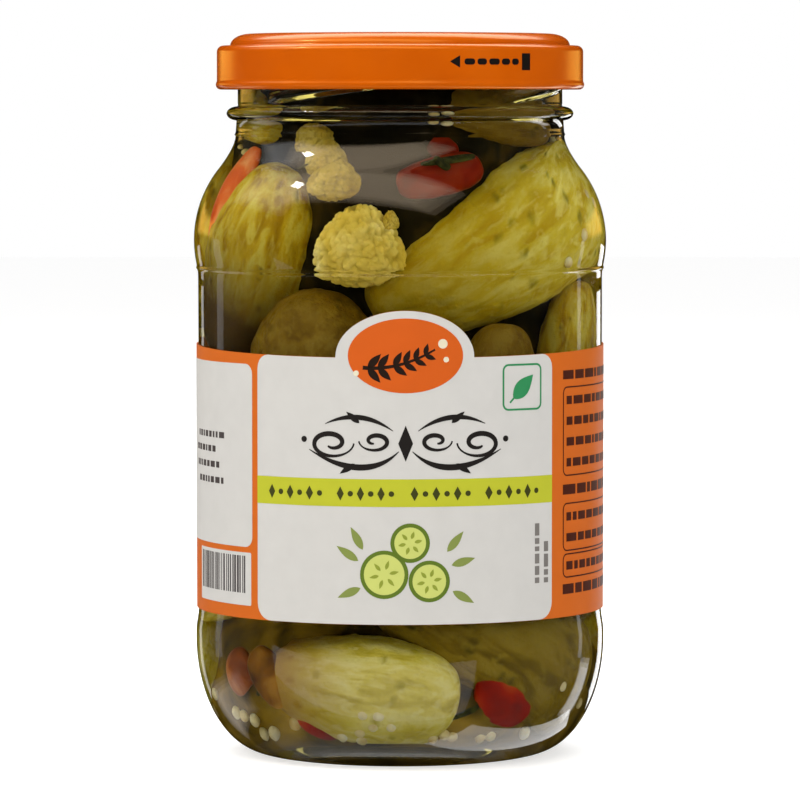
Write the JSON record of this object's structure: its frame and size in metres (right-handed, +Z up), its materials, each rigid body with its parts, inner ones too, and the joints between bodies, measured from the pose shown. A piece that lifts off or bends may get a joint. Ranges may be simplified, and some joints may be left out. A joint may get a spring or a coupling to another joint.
{
  "type": "pickle jar",
  "caption": "Shut glass jar of pickled gherkins with a screwed-down metal cap and a wrap-round paper label.",
  "frame": {"origin": "middle of the jar's foot, on the surface it stands on", "axes": "+Z up along the jar's axis; -Y out of the front, where the label's badge is; +X to the right seen from the front"},
  "size_m": [0.0754, 0.0754, 0.1313],
  "materials": {
    "glass": "polished",
    "cap_lacquer": "satin",
    "label_paper": "satin",
    "pickles": "gloss",
    "brine": "polished"
  },
  "bodies": {
    "root": {"jar": "glass", "lid": "cap_lacquer", "label": "label_paper", "pickle_heap": "pickles"}
  },
  "joints": []
}
